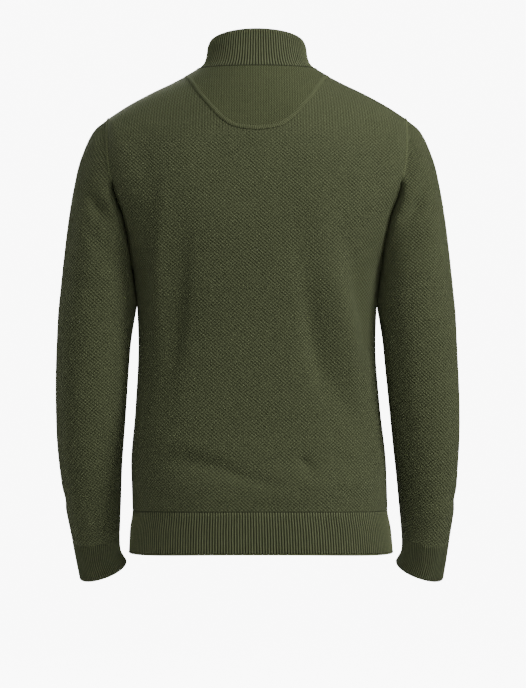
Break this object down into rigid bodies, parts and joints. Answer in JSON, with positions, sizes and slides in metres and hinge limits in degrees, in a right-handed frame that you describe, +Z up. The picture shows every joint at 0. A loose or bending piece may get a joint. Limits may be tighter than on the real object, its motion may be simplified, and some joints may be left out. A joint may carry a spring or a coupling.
{
  "type": "zip-up knitted cardigan, worn form without its wearer",
  "caption": "Long-sleeved moss-stitch knit cardigan with ribbed stand collar, hem and cuffs, back neck patch and a closed front zip, in its hollow worn form.",
  "frame": {"origin": "middle of the neck opening, 5 mm above the collar seam at the back, where the wearer's neck and shoulders hold the garment", "axes": "+Z up along the worn body, +X to the wearer's left, -Y out of the garment's front"},
  "size_m": [0.5796, 0.2465, 0.793],
  "materials": {
    "moss_knit": "matt olive green moss-stitch knit in a fine heathered yarn",
    "rib_knit": "matt olive green ribbed knit in the same yarn",
    "zip_tape": "matt dark olive woven zip tape",
    "zip_metal": "dull dark metal"
  },
  "bodies": {
    "cardigan": {"back": "moss_knit", "front_left": "moss_knit", "front_right": "moss_knit", "sleeve_left": "moss_knit", "sleeve_right": "moss_knit", "neck_patch": "moss_knit", "hem_back": "rib_knit", "hem_front_left": "rib_knit", "hem_front_right": "rib_knit", "cuff_left": "rib_knit", "cuff_right": "rib_knit", "collar": "rib_knit", "zip_tape_left": "zip_tape", "zip_tape_right": "zip_tape", "zip_chain_left": "zip_metal", "zip_chain_right": "zip_metal", "zip_box": "zip_metal", "zip_stop_left": "zip_metal", "zip_stop_right": "zip_metal", "zip_slider": "zip_metal"},
    "zip_pull": {"zip_pull": "zip_metal"}
  },
  "joints": [
    {"name": "zip_pull_hinge", "type": "hinge", "parent": "cardigan", "child": "zip_pull", "pos_m": [0, -0.07959, -0.01715], "axis": [-1, 0, 0], "range_deg": [0, 170]}
  ]
}
